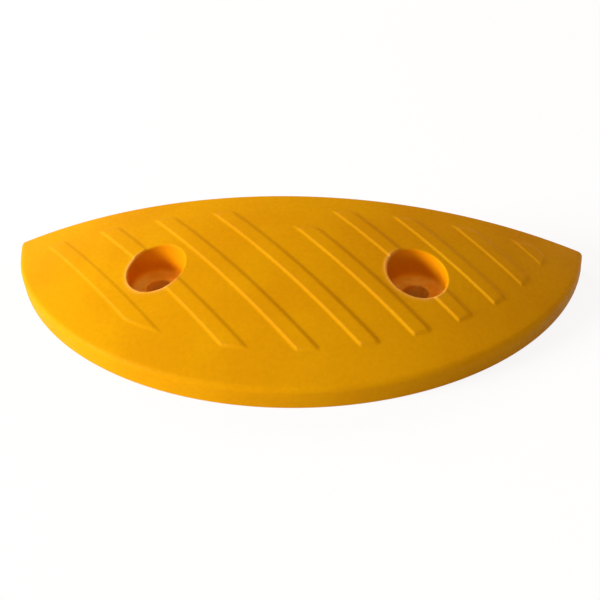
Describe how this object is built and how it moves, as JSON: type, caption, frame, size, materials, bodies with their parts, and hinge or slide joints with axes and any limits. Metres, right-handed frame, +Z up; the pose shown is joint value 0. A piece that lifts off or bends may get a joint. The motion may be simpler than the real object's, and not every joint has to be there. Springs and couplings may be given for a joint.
{
  "type": "speed bump end cap",
  "caption": "Half-round domed end cap of a modular speed bump, with slanting grip bars, a flat joining face, ribbed underside and sleeved wells for its ground bolts.",
  "frame": {"origin": "on the ground, under the middle of the part's box", "axes": "+X along the joining face, +Y from the round side to the joining face, +Z up from the road"},
  "size_m": [0.3504, 0.1244, 0.0473],
  "materials": {
    "moulding": "satin moulded yellow",
    "sleeve_steel": "turned, zinc plated"
  },
  "bodies": {
    "root": {"body": "moulding", "left_bolt_sleeve": "sleeve_steel", "right_bolt_sleeve": "sleeve_steel"}
  },
  "joints": []
}
